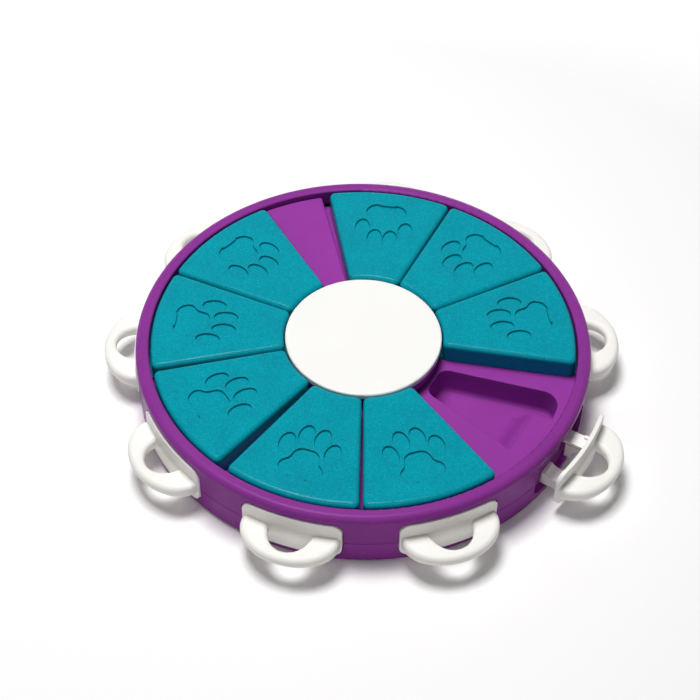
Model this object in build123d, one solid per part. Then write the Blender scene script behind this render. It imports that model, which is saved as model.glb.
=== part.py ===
from build123d import *
import math
import os

# A round treat puzzle for dogs. Nine pockets lie in a ring under eight sliding blocks, and a fixed
# wedge closes the ring. Nine handles slide in and out of the round wall.
# Millimetres and degrees. The origin is the middle of the circle on the ground, +Z up.

# --- Overall ---------------------------------------------------------------------------------
BODY_RADIUS = 147.2          # outside of the round wall
BODY_HEIGHT = 43.0           # ground to the top of the rim
CAP_RADIUS = 50.8            # the cap in the middle
FOOT_PROUD = 1.0             # how far the rubber feet lift the base off the ground
WALL = 2.4                   # walls of the base and the rim
FIT = 0.3                    # clearance between pieces that slip or slide together
SEAM_Z = 19.0                # where the upper shell meets the base
SEAM_GAP = 0.4               # the visible groove between them

# --- Ring of stations ------------------------------------------------------------------------
STATIONS = 9
STATION_PITCH = 38.0
FIRST_STATION = -30.0        # the open pocket
WEDGE_SPAN = 360.0 - STATIONS * STATION_PITCH
WEDGE_AFTER = 4              # the wedge follows this many stations

# --- Rim -------------------------------------------------------------------------------------
RIM_WIDTH = 8.6              # outside of the wall to the face beside the blocks
RIM_ROUND = 3.8              # outer rounding of the rim
LIP_ROUND = 1.4              # inner rounding of the rim
LIP_WALL = 2.0
LIP_CLEAR = 0.6              # over the blocks' flanges
BASE_TAPER = 0.4             # the base narrows this much towards the ground
BASE_ROUND = 1.4
LAP_HEIGHT = 5.9             # the base's inner wall that the upper shell slips over
LAP_ABOVE_SEAM = 2.2

# --- Deck and pockets ---------------------------------------------------------------------------
DECK_DROP = 14.2             # below the rim
DECK_THICK = 2.2
POCKET_FLOOR_Z = 10.5
POCKET_HALF_ANGLE = 13.7
POCKET_APEX = 7.5            # where the two straight sides of a pocket would meet
POCKET_LEAD = 2.1            # a pocket lies this far ahead of its handle
POCKET_RIB = 0.8             # deck between the blocks' inner ends and a pocket
POCKET_MARGIN = 6.4          # deck outside a pocket
POCKET_WALL = 1.5
POCKET_TAPER = 3.0
INNER_CORNER = 7.0
OUTER_CORNER = 11.0
FLOOR_FILLET = 3.5
POCKET_LIP = 0.7             # rounding of a pocket's mouth
RAMP_LENGTH = 27.0           # rise of a pocket's outer end, over the handle's arms
RAMP_WALL = 1.3
RAMP_ROUND = 4.0

# --- Sliding blocks --------------------------------------------------------------------------
BLOCK_PLAY = 1.8             # degrees that a block is narrower than its station
BLOCK_SHIFTS = (-0.9, -2.2, -3.0, -2.0, -2.9, 2.0, 0.6, -0.8)   # degrees ahead of each station
BLOCK_PROUD = 0.6            # above the rim
BLOCK_LIFT = 0.4             # running clearance over the deck and beside the flanges
BLOCK_GAP = 1.2              # between a block and the rim
BLOCK_WALL = 2.2
BLOCK_CORNER = 4.0
BLOCK_EDGE = 3.2
PAW_DEPTH = 1.4              # the paw print is sunk into the top
TOE_LENGTH = 15.8
TOE_WIDTH = 9.8
INNER_TOES = (-4.0, 5.3)     # a toe's middle: outward from the block's middle, and sideways
OUTER_TOES = (5.0, 14.8)
PAD_INNER = 6.2              # the pad's edge towards the toes, outward from the block's middle
PAD_NOTCH = 28.0             # the notch in its edge towards the rim
PAD_SIDE = (                 # its side between those two, outward and sideways
    (6.7, 4.6),
    (8.6, 7.2),
    (12.4, 8.6),
    (15.8, 10.0),
    (17.8, 12.4),
    (21.2, 14.0),
    (25.2, 12.8),
    (28.2, 9.4),
    (29.2, 5.0),
)
FLANGE_THICK = 1.7
FLANGE_REACH = 3.2           # beyond the block's own wall, inside and outside
FLANGE_INSET = 1.0           # degrees that a flange stops short of the block's side
DECK_INSET = 2.2             # the deck's edge lies this far inside the flanges' outer edge

# --- Fixed wedge -----------------------------------------------------------------------------
WEDGE_WIDTH = 17.2           # degrees
WEDGE_DROP = 3.9             # below the rim
WEDGE_SIDE = 2.4             # degrees of wall at each side of its hollow
WEDGE_PIN_RADIUS = 2.5
WEDGE_PIN_LENGTH = 4.0       # under the deck
WEDGE_PIN_INSET = 18.0       # from the wedge's two ends

# --- Hub, collar and cap ---------------------------------------------------------------------
CAP_GAP = 0.9                # between the cap and the blocks
CAP_EDGE = 4.0
CAP_THICK = 2.0
CAP_ROUND = 1.2
CAP_SEAT = 0.2               # between the cap's edge and the collar
COLLAR_INSET = 1.0           # the collar is this much smaller than the cap
COLLAR_WALL = 2.2
COLLAR_CLEAR = 0.8           # over the blocks' inner flanges
HUB_CLEAR = 1.5              # inside the blocks' inner flanges
HUB_SEAT_RADIUS = 34.0       # ring of the base that the hub stands on
HUB_SCREW_CIRCLE = 22.0
HUB_SCREWS = 3
HUB_SCREW_GRIP = 3.0         # how far these screws go into the hub
SPIGOT_DEPTH = 4.5

# --- Pull handles ----------------------------------------------------------------------------
PLATE_WIDTH = 63.0
PLATE_LOW_Z = 7.0
PLATE_DROP = 7.6             # top of the plate below the rim
PLATE_CORNER = 6.5
PLATE_EDGE = 0.8             # rounding of the plate's face
PLATE_THICK = 2.8
PLATE_PROUD = 1.0            # beyond the round wall when pushed in
PLATE_CLEAR = 0.6            # around the plate in its recess
HOME_TRAVEL = 1.5            # from the place where it rests to fully home
PULL_TRAVEL = 13.8           # from the place where it rests to fully out
LOOP_LENGTH = 23.3           # beyond the round wall
LOOP_HALF_WIDTH = 31.0
LOOP_TOP_Z = 24.5
LOOP_ROOT_THICK = 10.6
LOOP_END_THICK = 7.0
LOOP_ROUND = 3.2
HOLE_HALF_WIDTH = 13.5
HOLE_DEPTH = 15.6
ARM_LENGTH = 17.2            # from the plate's back to the tips of the blade and the lower arm
BODY_LENGTH = 13.2           # from the plate's back to the tip of the body under the blade
BLADE_SIDES = (4.0, 13.8)    # along the wall, from the handle's middle
BLADE_THICK = 2.2
BLADE_CLEAR = 0.4            # under the deck
BLADE_SLIT = 1.0             # between the blade and the body under it
BODY_LOW_Z = 12.0
BODY_WEB = 2.0               # height of the body where it joins the plate
LOWER_ARM_SIDES = (-19.5, -9.0)
LOWER_ARM_DROP = 9.6         # below the deck's underside
SCOOP_RADIUS = 9.0
SCOOP_DEPTH = 2.6
RUNNER_THICK = 1.7
BARB_REACH = 1.7
BARB_THICK = 1.6
NIB_CLEAR = 1.1              # outside the deck's edge when the handle is fully home
NIB_HEIGHT = 1.7             # above the blade
NIB_INSET = 0.4              # from the blade's outer side to the nib
NIB_WIDTH = 2.2
SLOT_CLEAR = 0.5
RAIL_INSET = 1.5             # a rail is narrower than its runner by this, each side

# --- Screws and feet -------------------------------------------------------------------------
SCREW_RADIUS = 1.5
SCREW_LENGTH = 15.0
SCREW_HEAD_RADIUS = 2.8
SCREW_HEAD_THICK = 2.0
SCREW_RECESS = 0.6           # head below the base's underside
PILOT_CLEAR = 0.05
PILOT_DEEPER = 1.0           # a screw's hole goes this much further
BOSS_RADIUS = 4.0
BOSS_HEIGHT = 5.2            # bosses that stand on the base's floor
BOSS_GAP = 0.2
BOSS_WEB = 3.0               # web between a boss and the wall
RIM_SCREW_INSET = 10.0       # from the outside of the wall
TRAY_SCREW_CIRCLE = 100.0
FOOT_RADIUS = 7.0
FOOT_INSET = 28.0            # from the outside of the wall
FOOT_SINK = 1.2
FEET = 6
FIRST_FOOT = 22.0

# --- Worked out from the above ---------------------------------------------------------------
OVERLAP = 0.1                # joined shapes reach this far into one another
BASE_LOW_Z = FOOT_PROUD
BASE_FLOOR_Z = BASE_LOW_Z + WALL
BASE_TOP_Z = SEAM_Z - SEAM_GAP / 2
RIM_LOW_Z = SEAM_Z + SEAM_GAP / 2
RIM_INSIDE = BODY_RADIUS - WALL
LIP_RADIUS = BODY_RADIUS - RIM_WIDTH

DECK_Z = BODY_HEIGHT - DECK_DROP
DECK_LOW_Z = DECK_Z - DECK_THICK
BLOCK_LOW_Z = DECK_Z + BLOCK_LIFT
BLOCK_TOP_Z = BODY_HEIGHT + BLOCK_PROUD
BLOCK_SPAN = STATION_PITCH - BLOCK_PLAY
BLOCK_INNER = CAP_RADIUS + CAP_GAP
BLOCK_OUTER = LIP_RADIUS - BLOCK_GAP
BLOCK_MIDDLE = (BLOCK_INNER + BLOCK_OUTER) / 2
FLANGE_TOP_Z = BLOCK_LOW_Z + FLANGE_THICK
FLANGE_OUTER = BLOCK_OUTER + FLANGE_REACH
FLANGE_INNER = BLOCK_INNER - FLANGE_REACH
LIP_LOW_Z = FLANGE_TOP_Z + LIP_CLEAR
TRAY_RADIUS = FLANGE_OUTER - DECK_INSET
POCKET_INNER = BLOCK_INNER + POCKET_RIB
POCKET_OUTER = TRAY_RADIUS - POCKET_MARGIN
POCKET_DEPTH = DECK_Z - POCKET_FLOOR_Z

CAP_TOP_Z = BODY_HEIGHT
CAP_LOW_Z = CAP_TOP_Z - CAP_EDGE
COLLAR_RADIUS = CAP_RADIUS - COLLAR_INSET
COLLAR_LOW_Z = FLANGE_TOP_Z + COLLAR_CLEAR
COLLAR_TOP_Z = CAP_LOW_Z - CAP_SEAT
HUB_RADIUS = FLANGE_INNER - HUB_CLEAR
WEDGE_TOP_Z = BODY_HEIGHT - WEDGE_DROP
WEDGE_OUTER = LIP_RADIUS - 2 * FIT
WEDGE_PIN_PLACES = (BLOCK_INNER + WEDGE_PIN_INSET, WEDGE_OUTER - WEDGE_PIN_INSET)

RECESS_WALL_INNER = FLANGE_OUTER + BLOCK_LIFT
RECESS_RADIUS = RECESS_WALL_INNER + LIP_WALL
PLATE_OUTER = BODY_RADIUS + PLATE_PROUD
PLATE_INNER = PLATE_OUTER - PLATE_THICK
PLATE_TOP_Z = BODY_HEIGHT - PLATE_DROP
ARM_ROOT = PLATE_INNER + PLATE_THICK / 2
ARM_TIP = PLATE_INNER - ARM_LENGTH
BODY_TIP = PLATE_INNER - BODY_LENGTH
BLADE_TOP_Z = DECK_LOW_Z - BLADE_CLEAR
BLADE_LOW_Z = BLADE_TOP_Z - BLADE_THICK
BODY_TOP_Z = BLADE_LOW_Z - BLADE_SLIT
NIB_TIP = TRAY_RADIUS + HOME_TRAVEL + NIB_CLEAR
NIB_TOP_Z = BLADE_TOP_Z + NIB_HEIGHT
NIB_SIDES = (BLADE_SIDES[1] - NIB_INSET - NIB_WIDTH, BLADE_SIDES[1] - NIB_INSET)
LOWER_ARM_TOP_Z = DECK_LOW_Z - LOWER_ARM_DROP
ARM_SPACE = (LOWER_ARM_SIDES[0] - SLOT_CLEAR, BLADE_SIDES[1] + SLOT_CLEAR)
BARB_OUTER = RECESS_WALL_INNER - PULL_TRAVEL - FIT
RUNNER_TIP = BARB_OUTER - BARB_THICK
RUNNER_TOP_Z = PLATE_LOW_Z + RUNNER_THICK

BASE_BOSS_TOP_Z = BASE_FLOOR_Z + BOSS_HEIGHT
SCREW_SEAT_Z = BASE_LOW_Z + SCREW_RECESS + SCREW_HEAD_THICK
PILOT_RADIUS = SCREW_RADIUS + PILOT_CLEAR
PILOT_TOP_Z = SCREW_SEAT_Z + SCREW_LENGTH + PILOT_DEEPER
RIM_SCREW_CIRCLE = BODY_RADIUS - RIM_SCREW_INSET
FOOT_CIRCLE = BODY_RADIUS - FOOT_INSET

STATION_ANGLES = [
    FIRST_STATION + STATION_PITCH * i + (WEDGE_SPAN if i >= WEDGE_AFTER else 0)
    for i in range(STATIONS)
]
BLOCK_STATIONS = STATION_ANGLES[WEDGE_AFTER:] + STATION_ANGLES[1:WEDGE_AFTER]
BLOCK_ANGLES = [a + shift for a, shift in zip(BLOCK_STATIONS, BLOCK_SHIFTS)]
WEDGE_ANGLE = FIRST_STATION + STATION_PITCH * (WEDGE_AFTER - 0.5) + WEDGE_SPAN / 2
GAP_ANGLES = [a - STATION_PITCH / 2 for a in STATION_ANGLES]
RIM_SCREW_ANGLES = GAP_ANGLES[0::2]
TRAY_SCREW_ANGLES = GAP_ANGLES[1::2]


# --- Shared shapes ---------------------------------------------------------------------------
def polar(radius, degrees):
    """A point of the XY plane from its radius and angle."""
    turn = math.radians(degrees)
    return (radius * math.cos(turn), radius * math.sin(turn))


def at_angle(degrees, radius=0.0, z=0.0):
    """The place at a radius and height, turned about the toy's middle."""
    return Rot(Z=degrees) * Pos(radius, 0, z)


def sector_face(inner, outer, start, end):
    """A flat annular sector."""
    middle = (start + end) / 2
    edges = [
        Line(polar(inner, start), polar(outer, start)),
        ThreePointArc(polar(outer, start), polar(outer, middle), polar(outer, end)),
        Line(polar(outer, end), polar(inner, end)),
        ThreePointArc(polar(inner, end), polar(inner, middle), polar(inner, start)),
    ]
    return Face(Wire(edges))


def raised(face, low, high):
    """A flat XY face made into a solid between two heights."""
    return Pos(0, 0, low) * extrude(face, amount=high - low, dir=(0, 0, 1))


def ring(inner, outer, low, high):
    """A plain round ring."""
    return raised(Circle(outer) - Circle(inner), low, high)


def post(radius, low, high):
    """An upright cylinder."""
    return raised(Circle(radius), low, high)


def block_between(xs, ys, zs):
    """A box from its limits on each axis."""
    size = [b - a for a, b in (xs, ys, zs)]
    middle = [(a + b) / 2 for a, b in (xs, ys, zs)]
    return Pos(*middle) * Box(*size)


def wall_prism(width, low, high, corner, start, end):
    """A rounded rectangle, upright along the wall, swept outward from one radius to another."""
    outline = Plane.YZ * Pos(0, (low + high) / 2) * RectangleRounded(width, high - low, corner)
    return Pos(start, 0, 0) * extrude(outline, amount=end - start, dir=(1, 0, 0))


def around(angles, piece):
    """Copies of a piece turned to each angle."""
    return [Rot(Z=a) * piece for a in angles]


# --- Openings that the handles need, in the frame of a handle that points along +X -------------
def recess_cut():
    """The shallow recess that a handle's plate sits in."""
    prism = wall_prism(
        PLATE_WIDTH + 2 * PLATE_CLEAR,
        PLATE_LOW_Z - PLATE_CLEAR,
        PLATE_TOP_Z + PLATE_CLEAR,
        PLATE_CORNER + PLATE_CLEAR,
        RECESS_RADIUS - PLATE_WIDTH / 3,
        BODY_RADIUS + WALL,
    )
    return prism - post(RECESS_RADIUS, 0, BODY_HEIGHT)


def recess_backing(low, high):
    """The boxed wall behind a recess, between two heights."""
    half = PLATE_WIDTH / 2 + PLATE_CLEAR + WALL
    box = block_between((RECESS_RADIUS - PLATE_WIDTH / 3, BODY_RADIUS), (-half, half), (low, high))
    return box & ring(RECESS_WALL_INNER, RIM_INSIDE + WALL / 2, low, high)


def arm_slots():
    """The two slots that the arms pass through."""
    xs = (RECESS_WALL_INNER - LIP_WALL, RECESS_RADIUS + OVERLAP)
    upper = block_between(
        xs,
        (BLADE_SIDES[0] - SLOT_CLEAR, BLADE_SIDES[1] + SLOT_CLEAR),
        (BODY_LOW_Z - SLOT_CLEAR, NIB_TOP_Z + SLOT_CLEAR),
    )
    lower = block_between(
        xs,
        (LOWER_ARM_SIDES[0] - SLOT_CLEAR, LOWER_ARM_SIDES[1] + SLOT_CLEAR),
        (PLATE_LOW_Z - SLOT_CLEAR, LOWER_ARM_TOP_Z + SLOT_CLEAR),
    )
    return [upper, lower]


# --- Base pan ----------------------------------------------------------------------------------
def base_pan():
    foot_radius = BODY_RADIUS - BASE_TAPER
    with BuildPart() as pan:
        with BuildSketch(Plane.XZ):
            with BuildLine():
                Polyline(
                    (foot_radius - BASE_ROUND, BASE_LOW_Z),
                    (0, BASE_LOW_Z),
                    (0, BASE_FLOOR_Z),
                    (foot_radius - WALL, BASE_FLOOR_Z),
                    (RIM_INSIDE - FIT, BASE_TOP_Z),
                    (BODY_RADIUS, BASE_TOP_Z),
                    (foot_radius, BASE_LOW_Z + BASE_ROUND),
                )
                RadiusArc(
                    (foot_radius, BASE_LOW_Z + BASE_ROUND),
                    (foot_radius - BASE_ROUND, BASE_LOW_Z),
                    BASE_ROUND,
                )
            make_face()
        revolve(axis=Axis.Z)
    body = pan.part
    # the lap that the upper shell slips over, left out where the recesses are
    lap_top = SEAM_Z + LAP_ABOVE_SEAM
    lap = ring(RIM_INSIDE - WALL, RIM_INSIDE - FIT, lap_top - LAP_HEIGHT, lap_top)
    half = PLATE_WIDTH / 2 + PLATE_CLEAR + WALL + FIT
    gap = block_between((TRAY_RADIUS - PLATE_WIDTH / 3, BODY_RADIUS), (-half, half), (0, BODY_HEIGHT))
    lap -= around(STATION_ANGLES, gap)
    body += lap
    body += around(STATION_ANGLES, recess_backing(BASE_FLOOR_Z, BASE_TOP_Z))
    body -= around(STATION_ANGLES, recess_cut())
    for slot in arm_slots():
        body -= around(STATION_ANGLES, slot)
    # rails under the handles' runners
    rail = block_between(
        (BARB_OUTER, RECESS_WALL_INNER),
        (LOWER_ARM_SIDES[0] + RAIL_INSET, LOWER_ARM_SIDES[1] - RAIL_INSET),
        (BASE_FLOOR_Z, PLATE_LOW_Z - FIT),
    )
    body += around(STATION_ANGLES, rail)
    # bosses for the screws that hold the upper shell and the deck, and the hub's seat
    boss = post(BOSS_RADIUS, BASE_FLOOR_Z, BASE_BOSS_TOP_Z)
    places = [at_angle(a, RIM_SCREW_CIRCLE) for a in RIM_SCREW_ANGLES]
    places += [at_angle(a, TRAY_SCREW_CIRCLE) for a in TRAY_SCREW_ANGLES]
    body += [place * boss for place in places]
    body += ring(HUB_SEAT_RADIUS - WALL, HUB_SEAT_RADIUS + WALL, BASE_FLOOR_Z, DECK_LOW_Z)
    hole = post(PILOT_RADIUS, 0, PILOT_TOP_Z)
    hole += post(SCREW_HEAD_RADIUS + FIT, 0, SCREW_SEAT_Z)
    body -= [place * hole for place in places]
    socket = post(FOOT_RADIUS + PILOT_CLEAR, 0, BASE_LOW_Z + FOOT_SINK)
    body -= [place * socket for place in foot_places()]
    return body


def foot_places():
    return [at_angle(FIRST_FOOT + 360 / FEET * i, FOOT_CIRCLE) for i in range(FEET)]


# --- Upper shell ---------------------------------------------------------------------------------
def rim_shell():
    with BuildPart() as shell:
        with BuildSketch(Plane.XZ):
            with BuildLine():
                Polyline(
                    (LIP_RADIUS, BODY_HEIGHT - LIP_ROUND),
                    (LIP_RADIUS, LIP_LOW_Z),
                    (LIP_RADIUS + LIP_WALL, LIP_LOW_Z),
                    (LIP_RADIUS + LIP_WALL, BODY_HEIGHT - WALL),
                    (RIM_INSIDE, BODY_HEIGHT - WALL),
                    (RIM_INSIDE, RIM_LOW_Z),
                    (BODY_RADIUS, RIM_LOW_Z),
                    (BODY_RADIUS, BODY_HEIGHT - RIM_ROUND),
                )
                RadiusArc(
                    (BODY_RADIUS, BODY_HEIGHT - RIM_ROUND),
                    (BODY_RADIUS - RIM_ROUND, BODY_HEIGHT),
                    -RIM_ROUND,
                )
                Line(
                    (BODY_RADIUS - RIM_ROUND, BODY_HEIGHT),
                    (LIP_RADIUS + LIP_ROUND, BODY_HEIGHT),
                )
                RadiusArc(
                    (LIP_RADIUS + LIP_ROUND, BODY_HEIGHT),
                    (LIP_RADIUS, BODY_HEIGHT - LIP_ROUND),
                    -LIP_ROUND,
                )
            make_face()
        revolve(axis=Axis.Z)
    body = shell.part
    body += around(STATION_ANGLES, recess_backing(RIM_LOW_Z, PLATE_TOP_Z + PLATE_CLEAR + WALL))
    body -= around(STATION_ANGLES, recess_cut())
    for slot in arm_slots():
        body -= around(STATION_ANGLES, slot)
    # screw bosses on the inside of the wall, under the deck
    top = DECK_LOW_Z - FIT
    boss = Pos(RIM_SCREW_CIRCLE, 0, 0) * post(BOSS_RADIUS, BASE_BOSS_TOP_Z + BOSS_GAP, top)
    web_low = SEAM_Z + LAP_ABOVE_SEAM + FIT
    web_end = RIM_INSIDE + WALL / 2
    boss += block_between((RIM_SCREW_CIRCLE, web_end), (-BOSS_WEB / 2, BOSS_WEB / 2), (web_low, top))
    boss -= Pos(RIM_SCREW_CIRCLE, 0, 0) * post(PILOT_RADIUS, 0, PILOT_TOP_Z)
    body += around(RIM_SCREW_ANGLES, boss)
    return body


# --- Deck and pockets -------------------------------------------------------------------------------
def pocket_face(grow):
    """A pocket's outline at the deck, grown by a distance, with its corners rounded."""
    half = math.radians(POCKET_HALF_ANGLE)
    apex = POCKET_APEX - grow / math.sin(half)
    far = POCKET_OUTER * 1.2
    spread = (far - apex) * math.tan(half)
    wedge = Face(Wire(Polyline((apex, 0), (far, -spread), (far, spread), (apex, 0)).edges()))
    band = Circle(POCKET_OUTER + grow) - Circle(POCKET_INNER - grow)
    outline = band & wedge
    corners = outline.vertices().sort_by(Axis.X)
    outline = fillet(corners[:2], INNER_CORNER + grow)
    corners = outline.vertices().sort_by(Axis.X)
    outline = fillet(corners[-2:], OUTER_CORNER + grow)
    return outline


def arm_ramp(inset, sides):
    """The rise at a pocket's outer end, over the handle's arms, or the room under it."""
    top_x = ARM_TIP - HOME_TRAVEL - FIT - RAMP_WALL + inset
    foot = (top_x - RAMP_LENGTH, POCKET_FLOOR_Z - inset)
    crest = (top_x, DECK_LOW_Z + RAMP_WALL - inset)
    with BuildPart() as ramp:
        with BuildSketch(Plane.XZ):
            with BuildLine():
                Spline(foot, crest, tangents=[(1, 0), (1, 0)])
                Polyline(crest, (TRAY_RADIUS, crest[1]), (TRAY_RADIUS, 0), (foot[0], 0), foot)
            make_face()
        extrude(amount=-(sides[1] - sides[0]))
    return Pos(0, sides[0], 0) * ramp.part


def pocket_cavity():
    """The hollow of a pocket up to the deck's top, its outer end rising over the handle's arms."""
    cavity = extrude(pocket_face(0), amount=-POCKET_DEPTH, taper=POCKET_TAPER)
    cavity = fillet(cavity.faces().sort_by(Axis.Z)[0].edges(), FLOOR_FILLET)
    cavity = Rot(Z=POCKET_LEAD) * Pos(0, 0, DECK_Z) * cavity
    ramp = arm_ramp(0, (-PLATE_WIDTH, ARM_SPACE[1] + RAMP_WALL))
    crest = ramp.faces().sort_by(Axis.Y)[-1].edges().sort_by(Axis.Z)[-2:]
    return cavity - fillet(crest, RAMP_ROUND)


def food_pocket():
    """The cup of a pocket under the deck, on +X."""
    outside = pocket_face(POCKET_WALL)
    shell = extrude(outside, amount=-(POCKET_DEPTH + POCKET_WALL), taper=POCKET_TAPER)
    shell = Rot(Z=POCKET_LEAD) * Pos(0, 0, DECK_Z) * shell
    shell -= arm_ramp(RAMP_WALL, ARM_SPACE)
    return (shell - pocket_cavity()) & post(TRAY_RADIUS, 0, DECK_LOW_Z)


def pocket_deck():
    body = post(TRAY_RADIUS, DECK_LOW_Z, DECK_Z)
    body -= around(STATION_ANGLES, pocket_cavity())
    deck = body.faces().filter_by_position(Axis.Z, DECK_Z, DECK_Z).sort_by(SortBy.AREA)[-1]
    mouths = [edge for wire in deck.inner_wires() for edge in wire.edges()]
    body = fillet(mouths, POCKET_LIP)
    # raised hub that the collar is screwed to
    body += post(HUB_RADIUS, DECK_LOW_Z, COLLAR_LOW_Z)
    body -= post(HUB_RADIUS - WALL, 0, COLLAR_LOW_Z - WALL)
    for place in hub_screw_places():
        body += place * post(BOSS_RADIUS, DECK_LOW_Z, COLLAR_LOW_Z - WALL + OVERLAP)
        body -= place * post(PILOT_RADIUS, 0, BODY_HEIGHT)
    # posts that stand on the base's bosses
    leg = post(BOSS_RADIUS, BASE_BOSS_TOP_Z, DECK_LOW_Z + OVERLAP)
    leg -= post(PILOT_RADIUS, 0, PILOT_TOP_Z)
    body += [at_angle(a, TRAY_SCREW_CIRCLE) * leg for a in TRAY_SCREW_ANGLES]
    pin_hole = post(WEDGE_PIN_RADIUS + PILOT_CLEAR, 0, BODY_HEIGHT)
    body -= [at_angle(WEDGE_ANGLE, r) * pin_hole for r in WEDGE_PIN_PLACES]
    return body


# --- Fixed wedge ----------------------------------------------------------------------------------
def fixed_wedge():
    half = WEDGE_WIDTH / 2
    face = sector_face(BLOCK_INNER, WEDGE_OUTER, -half, half)
    body = raised(face, DECK_Z, WEDGE_TOP_Z)
    body = fillet(body.edges().filter_by(Axis.Z), LIP_ROUND)
    body = fillet(body.faces().sort_by(Axis.Z)[-1].edges(), LIP_ROUND)
    inside = half - WEDGE_SIDE
    hollow = sector_face(BLOCK_INNER + WALL, WEDGE_OUTER - WALL, -inside, inside)
    body -= raised(hollow, DECK_LOW_Z, WEDGE_TOP_Z - WALL)
    for radius in WEDGE_PIN_PLACES:
        pin = post(WEDGE_PIN_RADIUS, DECK_LOW_Z - WEDGE_PIN_LENGTH, WEDGE_TOP_Z - WALL + OVERLAP)
        body += Pos(radius, 0, 0) * pin
    return Rot(Z=WEDGE_ANGLE) * body


# --- Hub collar and cap -----------------------------------------------------------------------------
def hub_screw_places():
    return [at_angle(360 / HUB_SCREWS * i, HUB_SCREW_CIRCLE) for i in range(HUB_SCREWS)]


def hub_collar():
    body = post(COLLAR_RADIUS, COLLAR_LOW_Z, COLLAR_TOP_Z)
    body -= post(COLLAR_RADIUS - COLLAR_WALL, COLLAR_LOW_Z + WALL, BODY_HEIGHT)
    for place in hub_screw_places():
        body -= place * post(SCREW_RADIUS + FIT, 0, BODY_HEIGHT)
    return body


def centre_cap():
    body = post(CAP_RADIUS, CAP_LOW_Z, CAP_TOP_Z)
    body = fillet(body.faces().sort_by(Axis.Z)[-1].edges(), CAP_ROUND)
    under = CAP_TOP_Z - CAP_THICK
    body -= post(CAP_RADIUS - WALL, 0, under)
    spigot = COLLAR_RADIUS - COLLAR_WALL - FIT
    body += ring(spigot - CAP_THICK, spigot, CAP_LOW_Z - SPIGOT_DEPTH, under + OVERLAP)
    return body


# --- Sliding block ----------------------------------------------------------------------------------
def paw_faces():
    """The outlines of a paw print, its toes towards the toy's middle."""
    toe = Ellipse(TOE_LENGTH / 2, TOE_WIDTH / 2)
    faces = [Pos(out, side * t) * toe for out, t in (INNER_TOES, OUTER_TOES) for side in (-1, 1)]
    halves = []
    for side in (-1, 1):
        points = [(out, side * t) for out, t in PAD_SIDE]
        points = [(PAD_INNER, 0)] + points + [(PAD_NOTCH, 0)]
        halves.append(Spline(points, tangents=[(0, side), (0, -side)]))
    return [Pos(BLOCK_MIDDLE, 0) * face for face in faces + [Face(Wire(halves))]]


def slider_block():
    """One block, its middle on +X."""
    half = BLOCK_SPAN / 2
    body = raised(sector_face(BLOCK_INNER, BLOCK_OUTER, -half, half), BLOCK_LOW_Z, BLOCK_TOP_Z)
    body = fillet(body.edges().filter_by(Axis.Z), BLOCK_CORNER)
    body = fillet(body.faces().sort_by(Axis.Z)[-1].edges(), BLOCK_EDGE)
    # hollow from below, with walls of one thickness
    side_turn = math.degrees(BLOCK_WALL / BLOCK_INNER)
    hollow = sector_face(
        BLOCK_INNER + BLOCK_WALL, BLOCK_OUTER - BLOCK_WALL, -half + side_turn, half - side_turn
    )
    hollow = fillet(hollow.vertices(), BLOCK_CORNER - BLOCK_WALL / 2)
    body -= raised(hollow, 0, BLOCK_TOP_Z - PAW_DEPTH - BLOCK_WALL)
    body -= [raised(face, BLOCK_TOP_Z - PAW_DEPTH, BLOCK_TOP_Z + OVERLAP) for face in paw_faces()]
    # flanges that run under the collar and under the rim
    flange = half - FLANGE_INSET
    inner = sector_face(FLANGE_INNER, BLOCK_INNER + BLOCK_WALL / 2, -flange, flange)
    outer = sector_face(BLOCK_OUTER - BLOCK_WALL / 2, FLANGE_OUTER, -flange, flange)
    body += [raised(inner, BLOCK_LOW_Z, FLANGE_TOP_Z), raised(outer, BLOCK_LOW_Z, FLANGE_TOP_Z)]
    return body


# --- Pull handle -------------------------------------------------------------------------------------
def along_wall(radius):
    """A round bar that lies along the wall, behind a plate."""
    return Rot(X=90) * Cylinder(radius, PLATE_WIDTH)


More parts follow.
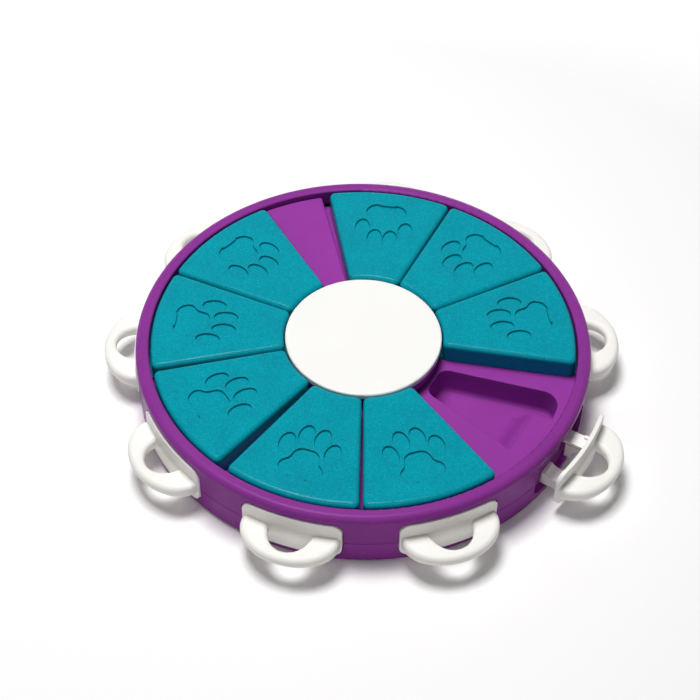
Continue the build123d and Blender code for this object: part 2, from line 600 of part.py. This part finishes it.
def pull_handle():
    """One handle, pushed in, pointing along +X."""
    back = PLATE_INNER - PLATE_WIDTH / 3
    plate = wall_prism(PLATE_WIDTH, PLATE_LOW_Z, PLATE_TOP_Z, PLATE_CORNER, back, PLATE_OUTER)
    plate &= ring(PLATE_INNER, PLATE_OUTER, 0, BODY_HEIGHT)
    plate = fillet(plate.faces().sort_by(SortBy.AREA)[-1].edges(), PLATE_EDGE)
    # the loop is half an oval ring that grows out of the plate
    outline = Ellipse(LOOP_LENGTH, LOOP_HALF_WIDTH) - Ellipse(HOLE_DEPTH, HOLE_HALF_WIDTH)
    outline = Pos(BODY_RADIUS, 0) * outline - Circle(ARM_ROOT)
    outline &= Pos(BODY_RADIUS, 0) * Rectangle(2 * LOOP_LENGTH, 2 * LOOP_HALF_WIDTH)
    outline = outline.faces().sort_by(Axis.X)[-1]
    root_z = LOOP_TOP_Z - LOOP_ROOT_THICK
    loop = raised(outline, root_z, LOOP_TOP_Z)
    # its underside rises outward
    root_x = math.sqrt(ARM_ROOT**2 - LOOP_HALF_WIDTH**2)
    end_x = BODY_RADIUS + LOOP_LENGTH
    end_z = LOOP_TOP_Z - LOOP_END_THICK
    under = [(root_x, root_z), (end_x, end_z), (end_x, 0), (root_x, 0), (root_x, root_z)]
    under = Face(Wire(Polyline([(x, PLATE_WIDTH, z) for x, z in under]).edges()))
    loop -= extrude(under, amount=2 * PLATE_WIDTH, dir=(0, -1, 0))
    levels = loop.faces().sort_by(Axis.Z)
    root = loop.faces().filter_by(GeomType.CYLINDER).edges()
    rims = [e for face in (levels[0], levels[-1]) for e in face.edges() if e not in root]
    loop = fillet(rims, LOOP_ROUND)
    body = plate + loop
    # the blade with its flat top, and the body under its slit
    body += block_between((ARM_TIP, ARM_ROOT), BLADE_SIDES, (BLADE_LOW_Z, BLADE_TOP_Z))
    under = block_between((BODY_TIP, ARM_ROOT), BLADE_SIDES, (BODY_LOW_Z, BODY_TOP_Z))
    cut = along_wall(BODY_TOP_Z - BODY_WEB - BODY_LOW_Z)
    cut &= block_between((-BODY_LENGTH, 0), (-PLATE_WIDTH, PLATE_WIDTH), (0, BODY_HEIGHT))
    body += under - Pos(PLATE_INNER, 0, BODY_LOW_Z) * cut
    body += block_between((NIB_TIP, ARM_ROOT), NIB_SIDES, (BLADE_TOP_Z - OVERLAP, NIB_TOP_Z))
    # the lower arm, scooped on top, on a runner whose barbs stop it at the wall
    middle = (ARM_TIP + PLATE_INNER) / 2
    lower = block_between((ARM_TIP, ARM_ROOT), LOWER_ARM_SIDES, (PLATE_LOW_Z, LOWER_ARM_TOP_Z))
    centre_z = LOWER_ARM_TOP_Z + SCOOP_RADIUS - SCOOP_DEPTH
    lower -= Pos(middle, 0, centre_z) * along_wall(SCOOP_RADIUS)
    lower += block_between((RUNNER_TIP, ARM_ROOT), LOWER_ARM_SIDES, (PLATE_LOW_Z, RUNNER_TOP_Z))
    barbs = (LOWER_ARM_SIDES[0] - BARB_REACH, LOWER_ARM_SIDES[1] + BARB_REACH)
    barb = block_between((RUNNER_TIP, BARB_OUTER), barbs, (PLATE_LOW_Z, RUNNER_TOP_Z))
    lower += barb & post(BARB_OUTER, PLATE_LOW_Z, RUNNER_TOP_Z)
    return body + lower


# --- Fasteners and feet --------------------------------------------------------------------------------
def screw(length):
    """A screw that points up, its seat at z = 0."""
    return post(SCREW_RADIUS, -OVERLAP, length) + post(SCREW_HEAD_RADIUS, -SCREW_HEAD_THICK, 0)


def screws_at(circle, angles):
    return [at_angle(a, circle, SCREW_SEAT_Z) * screw(SCREW_LENGTH) for a in angles]


def hub_screws():
    down = Pos(0, 0, COLLAR_LOW_Z + WALL) * Rot(X=180) * screw(WALL + HUB_SCREW_GRIP)
    return [place * down for place in hub_screw_places()]


def rubber_feet():
    pad = post(FOOT_RADIUS, 0, BASE_LOW_Z + FOOT_SINK)
    return [place * pad for place in foot_places()]


# --- Write every piece --------------------------------------------------------------------------------
os.makedirs("parts", exist_ok=True)


def save(name, shape):
    export_step(shape, f"parts/{name}.step")


save("base_pan", base_pan())
save("rim_shell", rim_shell())
save("pocket_deck", pocket_deck())
pocket = food_pocket()
for number, angle in enumerate(STATION_ANGLES, 1):
    save(f"food_pocket_{number}", Rot(Z=angle) * pocket)
save("fixed_wedge", fixed_wedge())
save("hub_collar", hub_collar())
save("centre_cap", centre_cap())
block = slider_block()
for number, angle in enumerate(BLOCK_ANGLES, 1):
    save(f"slider_block_{number}", Rot(Z=angle) * block)
handle = pull_handle()
for number, angle in enumerate(STATION_ANGLES, 1):
    pulled = PULL_TRAVEL if number == 1 else 0
    save(f"pull_handle_{number}", Rot(Z=angle) * Pos(pulled, 0, 0) * handle)
save("rim_screws", Compound(children=screws_at(RIM_SCREW_CIRCLE, RIM_SCREW_ANGLES)))
save("tray_screws", Compound(children=screws_at(TRAY_SCREW_CIRCLE, TRAY_SCREW_ANGLES)))
save("hub_screws", Compound(children=hub_screws()))
save("rubber_feet", Compound(children=rubber_feet()))
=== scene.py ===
import math
import bpy
from mathutils import Matrix, Vector

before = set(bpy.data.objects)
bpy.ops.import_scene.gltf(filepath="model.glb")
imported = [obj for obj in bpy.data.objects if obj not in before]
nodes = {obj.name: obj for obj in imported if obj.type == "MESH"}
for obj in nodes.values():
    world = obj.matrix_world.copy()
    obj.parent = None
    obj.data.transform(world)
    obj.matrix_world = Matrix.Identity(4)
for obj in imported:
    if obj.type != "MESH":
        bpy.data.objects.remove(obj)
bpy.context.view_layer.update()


# --- Body shell --------------------------------------------------------------------------------
# The round body is a base pan and an upper shell, both injection moulded in satin purple plastic
# and closed along a thin seam. The mould leaves a very fine grain and slow clouds in the colour,
# and the rounded edges carry a painted highlight in a paler purple.
def node_group(name, inputs, outputs):
    """An empty shader node group with value inputs, and its two end nodes."""
    group = bpy.data.node_groups.new(name, "ShaderNodeTree")
    for label, start in inputs.items():
        socket = group.interface.new_socket(name=label, in_out="INPUT", socket_type="NodeSocketFloat")
        socket.default_value = start
    for label, kind in outputs.items():
        group.interface.new_socket(name=label, in_out="OUTPUT", socket_type=kind)
    return group, group.nodes.new("NodeGroupInput"), group.nodes.new("NodeGroupOutput")


def math_node(tree, operation, first, second=None, clamp=False):
    """A math node; each side is a socket or a number."""
    node = tree.nodes.new("ShaderNodeMath")
    node.operation = operation
    node.use_clamp = clamp
    for socket, value in zip(node.inputs, (first, second)):
        if isinstance(value, (int, float)):
            socket.default_value = value
        elif value is not None:
            tree.links.new(value, socket)
    return node.outputs[0]


def ranged(tree, value, lows, highs):
    """A value carried from one range into another."""
    node = tree.nodes.new("ShaderNodeMapRange")
    tree.links.new(value, node.inputs["Value"])
    for label, number in zip(("From Min", "From Max", "To Min", "To Max"), (*lows, *highs)):
        node.inputs[label].default_value = number
    return node.outputs["Result"]


NOISE_LOW, NOISE_HIGH = 0.3, 0.7
SPECK_EDGE, SPECK_CORE = 0.45, 0.15
SPECK_FROM, SPECK_FULL = 0.72, 0.9


def mould_texture_group():
    """Fine grain of the mould, a slow cloud in the pigment and scattered bright specks."""
    group, start, end = node_group(
        "mould_texture",
        {"Grain Per Metre": 900.0, "Clouds Per Metre": 30.0},
        {"Grain": "NodeSocketFloat", "Cloud": "NodeSocketFloat", "Speck": "NodeSocketFloat"},
    )
    place = group.nodes.new("ShaderNodeTexCoord")
    for label, scale, detail in (("Grain", "Grain Per Metre", 2.0), ("Cloud", "Clouds Per Metre", 3.0)):
        noise = group.nodes.new("ShaderNodeTexNoise")
        noise.inputs["Detail"].default_value = detail
        group.links.new(place.outputs["Object"], noise.inputs["Vector"])
        group.links.new(start.outputs[scale], noise.inputs["Scale"])
        spread = ranged(group, noise.outputs["Fac"], (NOISE_LOW, NOISE_HIGH), (0.0, 1.0))
        group.links.new(spread, end.inputs[label])
    cells = group.nodes.new("ShaderNodeTexVoronoi")
    group.links.new(place.outputs["Object"], cells.inputs["Vector"])
    group.links.new(start.outputs["Grain Per Metre"], cells.inputs["Scale"])
    split = group.nodes.new("ShaderNodeSeparateColor")
    group.links.new(cells.outputs["Color"], split.inputs["Color"])
    near = ranged(group, cells.outputs["Distance"], (SPECK_EDGE, SPECK_CORE), (0.0, 1.0))
    rare = ranged(group, split.outputs["Red"], (SPECK_FROM, SPECK_FULL), (0.0, 1.0))
    group.links.new(math_node(group, "MULTIPLY", near, rare), end.inputs["Speck"])
    return group


BEVEL_SAMPLES = 6
EDGE_FROM, EDGE_FULL = 0.995, 0.85    # how far the rounded normal agrees with the plain one


def soft_edge_group():
    """Normals rounded over a moulded edge, and a mask of those edges."""
    group, start, end = node_group(
        "soft_edge",
        {"Radius": 0.0004},
        {"Normal": "NodeSocketVector", "Edge": "NodeSocketFloat"},
    )
    bevel = group.nodes.new("ShaderNodeBevel")
    bevel.samples = BEVEL_SAMPLES
    group.links.new(start.outputs["Radius"], bevel.inputs["Radius"])
    group.links.new(bevel.outputs["Normal"], end.inputs["Normal"])
    surface = group.nodes.new("ShaderNodeNewGeometry")
    dot = group.nodes.new("ShaderNodeVectorMath")
    dot.operation = "DOT_PRODUCT"
    group.links.new(bevel.outputs["Normal"], dot.inputs[0])
    group.links.new(surface.outputs["Normal"], dot.inputs[1])
    mask = ranged(group, dot.outputs["Value"], (EDGE_FROM, EDGE_FULL), (0.0, 1.0))
    group.links.new(mask, end.inputs["Edge"])
    return group


MOULD_TEXTURE = mould_texture_group()
SOFT_EDGE = soft_edge_group()


def placed(tree, group, **values):
    """A node group placed in a material with its own values."""
    node = tree.nodes.new("ShaderNodeGroup")
    node.node_tree = group
    for label, value in values.items():
        node.inputs[label.replace("_", " ")].default_value = value
    return node


def mixed(tree, mask, first, second):
    """Two colours mixed by a mask; each is a socket or a colour."""
    node = tree.nodes.new("ShaderNodeMix")
    node.data_type = "RGBA"
    tree.links.new(mask, node.inputs["Factor"])
    sides = [socket for socket in node.inputs if socket.type == "RGBA"]
    for socket, colour in zip(sides, (first, second)):
        if isinstance(colour, tuple):
            socket.default_value = (*colour, 1.0)
        else:
            tree.links.new(colour, socket)
    return next(socket for socket in node.outputs if socket.type == "RGBA")


def shaded(colour, factor):
    """A colour made darker or lighter."""
    return tuple(min(1.0, part * factor) for part in colour)


def bumped(tree, height, depth, shader, normal=None):
    """A fine relief over the surface, laid on an earlier normal if there is one."""
    bump = tree.nodes.new("ShaderNodeBump")
    bump.inputs["Distance"].default_value = depth
    tree.links.new(height, bump.inputs["Height"])
    if normal is not None:
        tree.links.new(normal, bump.inputs["Normal"])
    tree.links.new(bump.outputs["Normal"], shader.inputs["Normal"])


GRAIN_SHADE = 0.45
ROUGHNESS_DRIFT = 0.04


def moulded_plastic(
    name, colour, roughness, specular, clouds, variation,
    grain, grain_depth, grain_tint, edge_wear_and_light_colour, edge_wear_and_painted_light, edge_radius=0.0004,
):
    """Injection-moulded plastic. Clouds and grain are per metre, the depth and the radius in metres. The
    edge colour over the rounded edges is a painted highlight or painted shade, and wear on the rubber.
    """
    material = bpy.data.materials.new(name)
    material.use_nodes = True
    tree = material.node_tree
    shader = tree.nodes["Principled BSDF"]
    texture = placed(tree, MOULD_TEXTURE, Grain_Per_Metre=grain, Clouds_Per_Metre=clouds)
    corner = placed(tree, SOFT_EDGE, Radius=edge_radius)
    cloud = texture.outputs["Cloud"]
    cloudy = mixed(tree, cloud, shaded(colour, 1.0 - variation), shaded(colour, 1.0 + variation))
    grain_lines = math_node(tree, "MULTIPLY", texture.outputs["Grain"], grain_tint)
    grainy = mixed(tree, grain_lines, cloudy, shaded(colour, GRAIN_SHADE))
    # Painted highlight or painted shade along the rounded edges; on the rubber feet it is wear.
    wear_and_painted_light = math_node(tree, "MULTIPLY", corner.outputs["Edge"], edge_wear_and_painted_light)
    tree.links.new(mixed(tree, wear_and_painted_light, grainy, edge_wear_and_light_colour), shader.inputs["Base Color"])
    drift = (roughness - ROUGHNESS_DRIFT, roughness + ROUGHNESS_DRIFT)
    tree.links.new(ranged(tree, cloud, (0.0, 1.0), drift), shader.inputs["Roughness"])
    bumped(tree, texture.outputs["Grain"], grain_depth, shader, corner.outputs["Normal"])
    shader.inputs["Specular IOR Level"].default_value = specular
    return material


def dressed(material, *names):
    """Gives a material to pieces that the frame already holds."""
    for name in names:
        for place in nodes[name].material_slots:
            place.material = material


PURPLE = (0.255, 0.036, 0.29)
# The paler purple below is a painted highlight along the rounded edges of the purple parts.
PAINTED_HIGHLIGHT_PURPLE = (0.50, 0.16, 0.53)
purple_plastic = moulded_plastic(
    "purple_plastic", PURPLE, roughness=0.3, specular=0.06, clouds=28.0, variation=0.05,
    grain=1300.0, grain_depth=0.00002, grain_tint=0.16, edge_wear_and_light_colour=PAINTED_HIGHLIGHT_PURPLE, edge_wear_and_painted_light=0.3,
)
dressed(purple_plastic, "base_pan", "rim_shell")


# --- Deck, pockets, wedge and hub --------------------------------------------------------------
# The deck with its nine pockets, the fixed wedge and the collar under the cap are moulded in the
# same purple. Food and tongues have rubbed them, so they are a little duller than the shell. Their
# colour is that purple painted lighter, as painted light, and their edges carry the same painted
# highlight.
POCKETS = 9
# The shell's purple painted 15 percent lighter: painted light on the deck, which lies in shade among the
# blocks and walls.
PAINTED_LIGHT_PURPLE = shaded(PURPLE, 1.15)
tray_plastic = moulded_plastic(
    "tray_plastic", PAINTED_LIGHT_PURPLE, roughness=0.45, specular=0.06, clouds=22.0, variation=0.06,
    grain=1100.0, grain_depth=0.00002, grain_tint=0.12, edge_wear_and_light_colour=PAINTED_HIGHLIGHT_PURPLE, edge_wear_and_painted_light=0.5,
)
food_pockets = [f"food_pocket_{number}" for number in range(1, POCKETS + 1)]
dressed(tray_plastic, "pocket_deck", *food_pockets, "fixed_wedge", "hub_collar")


# --- Sliding blocks ----------------------------------------------------------------------------
# Eight hollow blocks of teal plastic, each with a sunken paw print for a dog's nose to push on.
# The mould is spark eroded, which leaves a sparkling grain of light and dark specks on the tops.
BLOCKS = 8
TEAL = (0.0, 0.335, 0.43)
# The dark teal below is painted shade, laid along the blocks' edges.
PAINTED_SHADE_TEAL = (0.0, 0.075, 0.11)
TEAL_SPECK = (0.01, 0.44, 0.52)
SPECK_STRENGTH = 0.8
teal_plastic = moulded_plastic(
    "teal_plastic", TEAL, roughness=0.17, specular=0.06, clouds=45.0, variation=0.06,
    grain=1000.0, grain_depth=0.00004, grain_tint=0.5, edge_wear_and_light_colour=PAINTED_SHADE_TEAL, edge_wear_and_painted_light=0.9,
    edge_radius=0.0005,
)


def add_specks(material, colour, strength):
    """Bright specks of the eroded grain, over the material's own colour."""
    tree = material.node_tree
    shader = tree.nodes["Principled BSDF"]
    groups = [node for node in tree.nodes if node.type == "GROUP"]
    texture = next(node for node in groups if node.node_tree == MOULD_TEXTURE)
    before = shader.inputs["Base Color"].links[0].from_socket
    faint = math_node(tree, "MULTIPLY", texture.outputs["Speck"], strength)
    tree.links.new(mixed(tree, faint, before, colour), shader.inputs["Base Color"])


add_specks(teal_plastic, TEAL_SPECK, SPECK_STRENGTH)
dressed(teal_plastic, *(f"slider_block_{number}" for number in range(1, BLOCKS + 1)))


# --- Centre cap --------------------------------------------------------------------------------
# A thin white cap snaps into the collar and hides the hub's screws. It is polished plastic with
# hardly any grain, and its face is bare.
WHITE = (0.9, 0.895, 0.87)
SHADED_WHITE = (0.70, 0.68, 0.65)
white_plastic = moulded_plastic(
    "white_plastic", WHITE, roughness=0.34, specular=0.3, clouds=18.0, variation=0.012,
    grain=700.0, grain_depth=0.00001, grain_tint=0.02, edge_wear_and_light_colour=SHADED_WHITE, edge_wear_and_painted_light=0.2,
)
dressed(white_plastic, "centre_cap")


# --- Pull handles ------------------------------------------------------------------------------
# Nine handles, each moulded in one piece from white plastic: a finger loop, a plate that closes
# the recess in the wall, and the two arms behind it. The loops are a little waxy to the touch.
HANDLES = 9
WARM_WHITE = (0.9, 0.885, 0.845)
handle_plastic = moulded_plastic(
    "handle_plastic", WARM_WHITE, roughness=0.42, specular=0.25, clouds=35.0, variation=0.012,
    grain=500.0, grain_depth=0.000015, grain_tint=0.02, edge_wear_and_light_colour=SHADED_WHITE, edge_wear_and_painted_light=0.15,
)
dressed(handle_plastic, *(f"pull_handle_{number}" for number in range(1, HANDLES + 1)))


# --- Screws and feet ---------------------------------------------------------------------------
# Zinc-plated self-tapping screws hold the shells, the deck and the collar together, from below
# and under the cap. Six matt rubber feet are glued into round sockets of the base.
ZINC, BRIGHT_ZINC = (0.42, 0.42, 0.43), (0.62, 0.62, 0.63)
ZINC_ROUGHNESS = (0.26, 0.42)
TURNING_MARKS, ZINC_CLOUDS = 2600.0, 300.0    # per metre
TURNING_DEPTH = 0.00001


def turned_steel():
    """Plated steel with the fine marks of turning."""
    material = bpy.data.materials.new("turned_steel")
    material.use_nodes = True
    tree = material.node_tree
    shader = tree.nodes["Principled BSDF"]
    texture = placed(tree, MOULD_TEXTURE, Grain_Per_Metre=TURNING_MARKS, Clouds_Per_Metre=ZINC_CLOUDS)
    marks = texture.outputs["Grain"]
    tree.links.new(mixed(tree, texture.outputs["Cloud"], ZINC, BRIGHT_ZINC), shader.inputs["Base Color"])
    tree.links.new(ranged(tree, marks, (0.0, 1.0), ZINC_ROUGHNESS), shader.inputs["Roughness"])
    shader.inputs["Metallic"].default_value = 1.0
    bumped(tree, marks, TURNING_DEPTH, shader)
    return material


dressed(turned_steel(), "rim_screws", "tray_screws", "hub_screws")
RUBBER, SCUFFED_RUBBER = (0.035, 0.034, 0.036), (0.09, 0.088, 0.09)
foot_rubber = moulded_plastic(
    "foot_rubber", RUBBER, roughness=0.78, specular=0.3, clouds=60.0, variation=0.15,
    grain=900.0, grain_depth=0.00006, grain_tint=0.3, edge_wear_and_light_colour=SCUFFED_RUBBER, edge_wear_and_painted_light=0.5,
)
dressed(foot_rubber, "rubber_feet")


# --- Studio floor ------------------------------------------------------------------------------
# The toy stands on a plain white sheet that runs far out. What the camera sees of it turns white
# away from the toy, and the shadows near the toy stay.
FLOOR_SIZE = 8.0
SHEET_WHITE = (0.98, 0.97, 0.97, 1.0)
SHADOW_REACH, WHITE_FROM = 0.36, 1.3    # distances from the toy's middle
FLOOR_LIFT = 0.02
BRIGHT = (1.0, 1.0, 1.0, 1.0)
bpy.ops.mesh.primitive_plane_add(size=FLOOR_SIZE)
floor = bpy.context.object
floor.name = "studio_floor"


def seen_rays(tree):
    """One for what is seen directly, in gloss or through glass, and none for light that falls."""
    rays = tree.nodes.new("ShaderNodeLightPath")
    seen = math_node(tree, "ADD", rays.outputs["Is Camera Ray"], rays.outputs["Is Glossy Ray"])
    return math_node(tree, "ADD", seen, rays.outputs["Is Transmission Ray"], clamp=True)


paper = bpy.data.materials.new("white_paper")
paper.use_nodes = True
tree = paper.node_tree
sheet = tree.nodes["Principled BSDF"]
sheet.inputs["Base Color"].default_value = SHEET_WHITE
sheet.inputs["Roughness"].default_value = 0.9
sheet.inputs["Specular IOR Level"].default_value = 0.0
place = tree.nodes.new("ShaderNodeTexCoord")
away = tree.nodes.new("ShaderNodeVectorMath")
away.operation = "LENGTH"
tree.links.new(place.outputs["Object"], away.inputs[0])
lift = ranged(tree, away.outputs["Value"], (SHADOW_REACH, WHITE_FROM), (FLOOR_LIFT, 1.0))
tree.links.new(math_node(tree, "MULTIPLY", seen_rays(tree), lift), sheet.inputs["Emission Strength"])
sheet.inputs["Emission Color"].default_value = BRIGHT
floor.data.materials.append(paper)


# --- Camera ------------------------------------------------------------------------------------
# It stands in front of the toy and looks down at the middle of it, a little off level.
CAMERA_PLACE = (0.0, -0.7015, 0.8117)
CAMERA_PITCH, CAMERA_YAW, CAMERA_ROLL = (math.radians(turn) for turn in (48.16, -0.70, 1.04))
SENSOR_WIDTH, LENS = 36, 82.7    # millimetres
look = Vector(
    (
        math.sin(CAMERA_YAW) * math.cos(CAMERA_PITCH),
        math.cos(CAMERA_YAW) * math.cos(CAMERA_PITCH),
        -math.sin(CAMERA_PITCH),
    )
)
side = look.cross(Vector((0, 0, 1))).normalized()
top = side.cross(look)
right = side * math.cos(CAMERA_ROLL) + top * math.sin(CAMERA_ROLL)
up = top * math.cos(CAMERA_ROLL) - side * math.sin(CAMERA_ROLL)
camera = bpy.data.objects.new("camera", bpy.data.cameras.new("camera"))
bpy.context.scene.collection.objects.link(camera)
turned = Matrix((right, up, -look)).transposed().to_4x4()
camera.matrix_world = Matrix.Translation(CAMERA_PLACE) @ turned
camera.data.sensor_width = SENSOR_WIDTH
camera.data.lens = LENS
bpy.context.scene.camera = camera


# --- Studio light ------------------------------------------------------------------------------
# One softbox hangs over the toy, a little behind it and to the left, and a weak one stands in
# front of it. White walls all round fill the shadows a little.
ROOM_LIGHT = 0.04


def softbox(name, place, size, power):
    """A soft lamp that points at the toy's middle; its size in metres, its power in watts."""
    lamp = bpy.data.lights.new(name, "AREA")
    lamp.shape = "RECTANGLE"
    lamp.size, lamp.size_y = size
    lamp.energy = power
    box = bpy.data.objects.new(name, lamp)
    box.location = place
    box.rotation_mode = "QUATERNION"
    box.rotation_quaternion = (-Vector(place)).to_track_quat("-Z", "Y")
    bpy.context.scene.collection.objects.link(box)


softbox("top_light", place=(-0.22, 0.22, 1.7), size=(0.7, 0.6), power=29.4)
softbox("front_light", place=(-0.1, -1.0, 0.9), size=(1.0, 0.5), power=1.6)
room = bpy.data.worlds.new("pale_room")
room.use_nodes = True
tree = room.node_tree
walls = tree.nodes["Background"]
walls.inputs["Color"].default_value = BRIGHT
tree.links.new(ranged(tree, seen_rays(tree), (0.0, 1.0), (ROOM_LIGHT, 1.0)), walls.inputs["Strength"])
bpy.context.scene.world = room
bpy.context.scene.view_settings.view_transform = "Standard"
